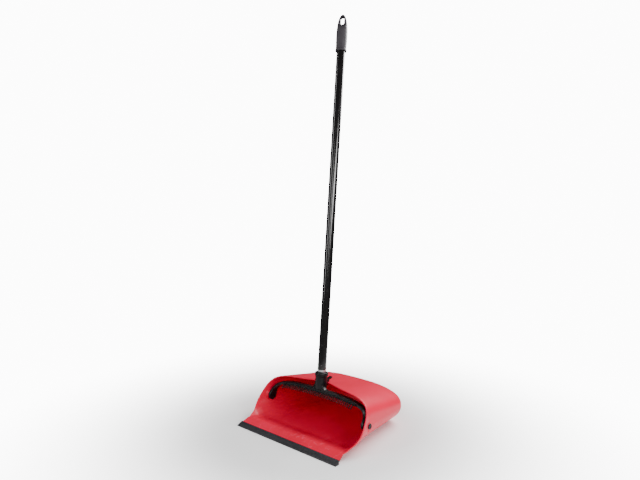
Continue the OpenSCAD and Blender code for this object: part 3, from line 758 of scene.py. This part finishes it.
# The bow follows a rounded arch: the same superellipse angle on its inner and outer outline
# gives the two ends of each section, and below the tilt axis the arms end in a half circle
def bowRows():
    endAngle = np.linspace(0, np.pi / 2, bow["endRows"] + 1)[:-1]
    endZ = -bow["armEnd"] / 2 * np.cos(endAngle)
    angle = np.pi * (0.5 - 0.5 * np.cos(np.linspace(0, np.pi, bow["rows"] + 1)))
    angle = 0.55 * angle + 0.45 * np.linspace(0, np.pi, bow["rows"] + 1)
    c, s = quarter(angle, bow["power"])
    outer = np.stack([bow["armFace"] * c, bow["height"] * s], axis=-1)
    inner = np.stack([innerHalf * c, innerHeight * s], axis=-1)
    down = np.stack([np.full(len(endZ), 1.0), endZ], axis=-1)
    outer = np.concatenate([down * [bow["armFace"], 1], outer, down[::-1] * [-bow["armFace"], 1]])
    inner = np.concatenate([down * [innerHalf, 1], inner, down[::-1] * [-innerHalf, 1]])
    rows = []
    for near, far in zip(inner, outer):
        deep = bowDepth(np.array([near[1], far[1]]))[0]
        thick = np.linalg.norm(far - near)
        edge = min(bow["edge"], deep.max() * 0.8)
        section = roundedSection(thick, 2 * max(deep.max(), 0.01), edge)
        share = (section[:, 0] + 1) / 2
        place = near + (far - near) * share[:, None]
        depth, middle = bowDepth(place[:, 1])
        rows.append(np.stack([place[:, 0], middle + section[:, 1] * np.maximum(depth, 0.01),
                              place[:, 1]], axis=-1))
    return np.array(rows)


Shape().grid(leaned(bowRows()), caps="start end").build(
    "bowArch", "handle", ["bow"], "black_plastic", black, sharp=50)


# Shoulder between bar and socket: rounded rectangles that narrow in a hollow curve
def shoulderRows():
    z = np.linspace(innerHeight + 0.6, bow["height"] + 15, 40)
    wide, narrow = handle["socketDiameter"] / 2 + bow["flare"], handle["socketDiameter"] / 2 - 2
    rise = np.clip((z - bow["height"] + 1.5) / 15, 0, 1)
    halfX = narrow + (wide - narrow) * (1 - np.sin(np.pi / 2 * rise)) ** 1.4
    halfY = (bow["barDepth"] / 2 - 0.35) * (1 - 0.10 * rise)
    angle = np.linspace(0, 2 * np.pi, 72, endpoint=False)
    c, s = np.cos(angle), np.sin(angle)
    size = (np.abs(c) ** 7 + np.abs(s) ** 7) ** (1 / 7)
    return np.stack([halfX[:, None] * c / size, halfY[:, None] * s / size,
                     z[:, None] + 0 * c], axis=-1)


Shape().grid(leaned(shoulderRows(), bow["barBack"]), caps="start end").build(
    "bowShoulder", "handle", ["bow"], "black_plastic", black, sharp=50)


# Socket: a tube closed below, with a rounded foot, a collar and a threaded mouth
def socketProfile():
    radius, collar = handle["socketDiameter"] / 2, handle["collarDiameter"] / 2
    foot, top = innerHeight + bow["stripHeight"] + 0.3, handle["socketTop"]
    hole, deep = handle["threadHole"] / 2, top - handle["threadDepth"]
    base = top - handle["collarHeight"]
    outline = [[0, foot], [radius - 1.2, foot], [radius - 0.3, foot + 0.4], [radius, foot + 1.4],
               [radius, base - 1.6], [radius + 0.3, base - 0.7], [collar - 0.7, base],
               [collar - 0.15, base + 0.5], [collar, base + 1.3], [collar - 0.1, top - 3.2],
               [collar - 0.5, top - 1.4], [collar - 1.3, top - 0.4], [collar - 2.4, top],
               [hole + 1.2, top], [hole + 0.3, top - 0.5], [hole, top - 1.4], [hole, deep],
               [0, deep]]
    return rounded(outline, [0] + [0.25] * (len(outline) - 2) + [0], 3, closed=False)


Shape().grid(leaned(turned(socketProfile(), 96), handle["back"])).build(
    "bowSocket", "handle", ["bow"], "black_plastic", black, sharp=45)

# Catch: its pin stands behind the socket, just over the middle of the hood's edge
catch = dict(width=8, ear=3, gap=0.3, hub=6.4, pin=2.5, wire=0.7, y=36.18, z=60.79,
             edgeUp=56.39)


def catchEars():
    y, z, r = catch["y"], catch["z"], catch["hub"] / 2
    socketIn, socketBack = handle["back"] + 4, handle["back"] + handle["socketDiameter"] / 2
    angle = np.radians(np.linspace(-62, 90, 22))
    arc = np.stack([y + r * np.cos(angle), z + r * np.sin(angle)], axis=-1)
    outline = np.concatenate([arc, [[socketIn, z + r], [socketIn, catch["edgeUp"] + 1],
                                    [socketBack, catch["edgeUp"] + 1]]])
    for side, word in ((1, "Right"), (-1, "Left")):
        near = side * (catch["width"] / 2 + catch["gap"])
        points = drawnAcross(outline, near, near + side * catch["ear"])
        Shape().grid(leaned(points), caps="start end").build(
            "catchEar" + word, "handle", ["bow"], "black_plastic", black, bevel=0.45, sharp=35,
            bevelAngle=40)


catchEars()
print("bow made")


# The comb

comb = dict(halfWidth=110.4, pitch=5.6, toothWide=2.4, toothLength=14, drop=36)


def archHeight(x):
    return innerHeight * (1 - (np.abs(x) / innerHalf) ** bow["power"]) ** (1 / bow["power"])


# Strip: a rounded rectangle carried along the underside of the bar
def combStrip():
    x = np.linspace(-comb["halfWidth"] - 2, comb["halfWidth"] + 2, 91)
    low = archHeight(x)
    section = roundedSection(bow["stripHeight"], bow["stripThick"], 0.6, 3)
    stripMiddle = bow["barBack"] - bow["barDepth"] / 2 - bow["stripThick"] / 2
    height = low[:, None] + bow["stripHeight"] * (section[:, 0] + 1) / 2
    depth = stripMiddle + section[:, 1] * bow["stripThick"] / 2
    return np.stack([x[:, None] + 0 * height, depth + 0 * height, height], axis=-1)


# One tooth runs forward and down from the strip: rounded sections that taper to a blunt tip
def toothRows():
    along = np.concatenate([np.linspace(0, 0.9, 9), [0.95, 0.985, 1.0]])
    shrink = np.concatenate([np.ones(9), [0.93, 0.75, 0.35]])
    angle = np.linspace(0, 2 * np.pi, 16, endpoint=False)
    c, s = np.cos(angle), np.sin(angle)
    size = (np.abs(c) ** 3.2 + np.abs(s) ** 3.2) ** (1 / 3.2)
    halfWide = (comb["toothWide"] / 2 - 0.35 * along) * shrink
    halfTall = (2.4 - 1.5 * along ** 0.8) * shrink
    drop = math.radians(comb["drop"])
    direction = np.array([-math.cos(drop), -math.sin(drop)])
    normal = np.array([-math.sin(drop), math.cos(drop)])
    root = np.array([-bow["stripThick"] + 0.6, 2.3])
    middle = root + (direction * comb["toothLength"] * along[:, None]) \
        - normal * (1.5 * along[:, None] ** 0.8)
    x = halfWide[:, None] * (c / size)
    lift = halfTall[:, None] * (s / size)
    y = middle[:, 0, None] + normal[0] * lift
    z = middle[:, 1, None] + normal[1] * lift
    return np.stack([x, y, z], axis=-1)


def broomComb():
    shape = Shape().grid(leaned(combStrip()), caps="start end")
    tooth = toothRows()
    teeth = int(comb["halfWidth"] // comb["pitch"])
    for n in range(-teeth, teeth + 1):
        x = n * comb["pitch"]
        place = np.array([x, bow["barBack"] - bow["barDepth"] / 2,
                          float(archHeight(np.array(x)))])
        shape.grid(leaned(tooth + place), caps="start end")
    shape.build("broomComb", "handle", ["broom_comb"], "comb_plastic", combBlack, sharp=50)


broomComb()
print("comb made")


# Catch lever, pin and spring

# A copy of a CAD node, merged, with its edges rounded
def edged(node, name, body, material, bevel, bevelAngle=30):
    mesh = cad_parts[node].data.copy()
    mesh.name = name
    work = bmesh.new()
    work.from_mesh(mesh)
    bmesh.ops.remove_doubles(work, verts=work.verts, dist=5e-6)
    bmesh.ops.dissolve_limit(work, angle_limit=math.radians(2), verts=work.verts,
                             edges=work.edges)
    work.to_mesh(mesh)
    work.free()
    return finishMesh(mesh, name, body, [node], material, bevel, 35, bevelAngle)


edged("catch_lever", "catchLever", "catch", black, 0.3, 35)


def catchPin():
    reach, r = catch["width"] / 2 + catch["gap"] + catch["ear"], catch["pin"] / 2
    profile = [[0, -reach], [r - 0.3, -reach], [r, -reach + 0.3], [r, reach - 0.3],
               [r - 0.3, reach], [0, reach]]
    points = turnedAcross(profile, 40) + np.array([0, catch["y"], catch["z"]])
    Shape().grid(leaned(points)).build("catchPin", "handle", ["catch_pin"], "bare_steel", steel)


# Round wire carried along a helix of three turns
def catchSpring():
    turns, steps, sides = 3, 120, 14
    coil = catch["pin"] / 2 + catch["wire"] / 2 + 0.12
    start = catch["width"] / 2 - 3.8 + catch["wire"]
    turn = np.linspace(0, 2 * np.pi * turns, steps + 1)[:, None]
    around = np.linspace(0, 2 * np.pi, sides, endpoint=False)
    r = coil + catch["wire"] / 2 * np.cos(around)
    x = start + (catch["wire"] + 0.12) * turn / (2 * np.pi) + catch["wire"] / 2 * np.sin(around)
    points = np.stack([x, r * np.cos(turn) + catch["y"], r * np.sin(turn) + catch["z"]], axis=-1)
    Shape().grid(leaned(points), caps="start end").build(
        "catchSpring", "handle", ["catch_spring"], "bare_steel", steel, sharp=60)


catchPin()
catchSpring()
print("catch made")


# Tube, sleeve and rivet

# A thin pipe with softly rounded ends, as a closed profile of (radius, height)
def pipe(outer, inner, low, high, edge):
    ring = rounded([[inner, low], [outer, low], [outer, high], [inner, high]], edge, 4)
    return np.concatenate([ring, ring[:1]])


def longRows(profile, outerStep=28.0):
    out = [profile[0]]
    for point in profile[1:]:
        length = np.linalg.norm(point - out[-1])
        pieces = max(1, int(length // outerStep))
        share = np.arange(1, pieces + 1)[:, None] / pieces
        out.extend(out[-1] + (point - out[-1]) * share)
    return np.array(out)


def tubeAndSleeve():
    low, high = handle["tubeStart"], handle["tubeStart"] + handle["tubeLength"]
    r, skinR = handle["tubeDiameter"] / 2, handle["tubeDiameter"] / 2 + handle["sleeve"]
    tube = longRows(pipe(r, r - handle["tubeWall"], low, high, 0.22))
    Shape().grid(leaned(turned(tube, 96), handle["back"])).build(
        "handleTube", "handle", ["handle_tube"], "bare_steel", steel, sharp=60)
    sleeve = longRows(pipe(skinR, r, low + handle["bareEnd"], high - 2, 0.14))
    Shape().grid(leaned(turned(sleeve, 96), handle["back"])).build(
        "tubeSleeve", "handle", ["tube_sleeve"], "black_sleeve", skin, sharp=60)


def endRivet():
    r, seat = 2.5, handle["tubeDiameter"] / 2 + handle["sleeve"]
    dome = [[0, seat + 0.95], [0.8, seat + 0.92], [1.5, seat + 0.74], [2.1, seat + 0.42],
            [r - 0.12, seat + 0.18], [r, seat - 0.05], [r, seat - 0.35], [r / 2, seat - 0.35],
            [r / 2, 0]]
    profile = np.array(dome + [[radius, -height] for radius, height in dome[::-1]][1:])
    points = turned(rounded(profile, [0] + [0.12] * (len(profile) - 2) + [0], 2, closed=False), 48)
    points = np.stack([points[..., 0], -points[..., 2], points[..., 1]], axis=-1)
    points = screwed(points) + [0, 0, handle["tubeStart"] + handle["rivetUp"]]
    Shape().grid(leaned(points, handle["back"])).build(
        "endRivet", "handle", ["end_rivet"], "dark_rivet", rivetFinish, sharp=50)


tubeAndSleeve()
endRivet()
print("tube, sleeve and rivet made")


# The grip

grip = dict(length=92, radius=14, nose=58, power=2.6, seat=56, eyeLength=20, eyeWidth=9,
            eyeDown=17, flat=15, rows=84, columns=112)


# Distance down from the tip sets the radius, as a long superellipse nose; two flats are
# brought in on the sides of the hanging eye by limiting y with a rounded minimum
def gripRows():
    skirt = [[grip["radius"] - 1.4, grip["length"]], [grip["radius"] - 0.5, grip["length"]],
             [grip["radius"] - 0.1, grip["length"] - 0.4], [grip["radius"], grip["length"] - 1.1],
             [grip["radius"], grip["length"] - 3.6], [grip["radius"] - 0.3, grip["length"] - 4.9],
             [grip["radius"] - 0.8, grip["length"] - 6.0], [grip["radius"] - 0.75, 80],
             [grip["radius"] - 0.2, 68]]
    down = grip["nose"] * (1 - np.sin(np.linspace(0, np.pi / 2, grip["rows"])))
    radius = grip["radius"] * (1 - ((grip["nose"] - down) / grip["nose"]) ** grip["power"]) ** 0.5
    profile = np.concatenate([skirt, np.stack([radius, down], axis=-1)])
    angle = np.linspace(0, 2 * np.pi, grip["columns"], endpoint=False)
    x = profile[:, 0, None] * np.cos(angle)
    y = profile[:, 0, None] * np.sin(angle)
    depth = profile[:, 1, None]
    half = grip["flat"] / 2
    share = np.clip((depth - 28) / 11, 0, 1)
    limit = half + (grip["radius"] + 3 - half) * share * share * (3 - 2 * share)
    sharpness = 9.0
    y = y / (1 + (np.abs(y) / limit) ** sharpness) ** (1 / sharpness)
    return np.stack([x, y, -depth + 0 * x], axis=-1)


# Eye: a slot with round ends that widens in a small rounding as it leaves the two flats
def eyeRows():
    along = np.linspace(-grip["radius"] - 2, grip["radius"] + 2, 41)
    flare = 1.6 * np.clip((np.abs(along) - grip["flat"] / 2 + 1.7) / 1.7, 0, 1.6) ** 2
    half = (grip["eyeLength"] - grip["eyeWidth"]) / 2
    angle = np.linspace(0, 2 * np.pi, 72, endpoint=False)
    r = grip["eyeWidth"] / 2 + flare[:, None]
    x = r * np.cos(angle)
    z = r * np.sin(angle) + np.clip(np.sin(angle) * 40, -1, 1) * half - grip["eyeDown"]
    return np.stack([x, along[:, None] + 0 * x, z], axis=-1)


def makeGrip():
    boreR = handle["tubeDiameter"] / 2 + handle["sleeve"]
    body = solid(gripRows())
    bore = solid(turned([[boreR, -grip["length"] - 1], [boreR, grip["seat"] - grip["length"]]], 96))
    eye = solid(eyeRows())
    for cutter in (bore, eye):
        cut = body.modifiers.new("cut", "BOOLEAN")
        cut.operation, cut.solver, cut.object = "DIFFERENCE", "EXACT", cutter
    remesh = body.modifiers.new("remesh", "REMESH")
    remesh.mode, remesh.voxel_size = "VOXEL", 0.00048
    smooth = body.modifiers.new("smooth", "SMOOTH")
    smooth.factor, smooth.iterations = 0.5, 6
    applyAll(body)
    for cutter in (bore, eye):
        bpy.data.objects.remove(cutter)
    mesh = body.data.copy()
    bpy.data.objects.remove(body)
    place = np.empty(len(mesh.vertices) * 3)
    mesh.vertices.foreach_get("co", place)
    tip = handle["tubeStart"] + handle["tubeLength"] + grip["length"] - grip["seat"]
    place = screwed(place.reshape(-1, 3) / millimetre) + [0, 0, tip]
    mesh.vertices.foreach_set("co", (leaned(place, handle["back"]) * millimetre).ravel())
    mesh.update()
    finishMesh(mesh, "handleGrip", "handle", ["grip"], gripFinish, sharp=60)


makeGrip()

# The threaded end keeps its CAD shape
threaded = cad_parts["threaded_end"]
threaded.data.materials.clear()
threaded.data.materials.append(black)
print("grip made")


# Camera, floor and light

view = dict(place=(0.7367, -0.8639, 0.4936), azimuth=40.25, down=2.45, lens=27.2)


def makeCamera():
    a, e = math.radians(view["azimuth"]), math.radians(view["down"])
    look = Vector((-math.sin(a) * math.cos(e), math.cos(a) * math.cos(e), -math.sin(e)))
    data = bpy.data.cameras.new("camera")
    data.sensor_width, data.lens = 36, view["lens"]
    data.clip_start, data.clip_end = 0.02, 100
    camera = bpy.data.objects.new("camera", data)
    camera.location = view["place"]
    camera.rotation_euler = look.to_track_quat("-Z", "Y").to_euler()
    bpy.context.scene.collection.objects.link(camera)
    bpy.context.scene.camera = camera


def makeFloor():
    reach = np.concatenate([np.linspace(0, 2, 9), np.linspace(3, 14, 12)])
    angle = np.linspace(0, 2 * np.pi, 48, endpoint=False)
    radius = reach[:, None]
    points = np.stack([radius * np.cos(angle), radius * np.sin(angle),
                       -0.0003 + 0 * radius * angle], axis=-1)
    mesh = bpy.data.meshes.new("floor")
    mesh.from_pydata(points.reshape(-1, 3).tolist(), [], gridFaces(len(reach), 48))
    work = bmesh.new()
    work.from_mesh(mesh)
    bmesh.ops.remove_doubles(work, verts=work.verts, dist=1e-6)
    work.to_mesh(mesh)
    work.free()
    floor = bpy.data.objects.new("floor", mesh)
    floor.data.materials.append(paleFloor())
    bpy.context.scene.collection.objects.link(floor)


# A soft box of light at a place, aimed at a point
def softBox(name, place, aim, size, power):
    data = bpy.data.lights.new(name, "AREA")
    data.shape = "RECTANGLE"
    data.size, data.size_y = size
    data.energy = power
    light = bpy.data.objects.new(name, data)
    light.location = place
    way = Vector(aim) - Vector(place)
    light.rotation_euler = way.to_track_quat("-Z", "Z").to_euler()
    bpy.context.scene.collection.objects.link(light)


# Two tall boxes beside the handle draw its highlights, one fills the mouth, one lights the hood
boxes = dict(
    leftBox=dict(place=(-0.9, -1.5, 1.0), aim=(0, 0, 0.5), size=(0.30, 1.6), power=12),
    rightBox=dict(place=(1.9, -0.45, 0.9), aim=(0, 0, 0.4), size=(0.4, 1.5), power=27),
    frontBox=dict(place=(0.9, -1.9, 0.9), aim=(0, 0, 0.05), size=(0.9, 0.7), power=8),
    topBox=dict(place=(0.3, 1.3, 1.5), aim=(0, 0.1, 0.1), size=(1.4, 1.0), power=55),
)


# The room is dim in reflections, soft for diffuse light, and plain white behind everything
def makeLight():
    world = bpy.data.worlds.new("studio")
    world.use_nodes = True
    tree = world.node_tree
    room = dict(dim=0.08, soft=0.30, white=12.0)
    seen = makeNode(tree, "ShaderNodeLightPath")
    diffuse = makeNode(tree, "ShaderNodeLightPath", output=2)
    strength = seen * room["white"] + diffuse * room["soft"] + room["dim"]
    background = tree.nodes["Background"]
    background.inputs["Color"].default_value = colour(1.0, 1.0, 1.0)
    tree.links.new(strength.socket, background.inputs["Strength"])
    bpy.context.scene.world = world
    for name, box in boxes.items():
        softBox(name, **box)


makeCamera()
makeFloor()
makeLight()
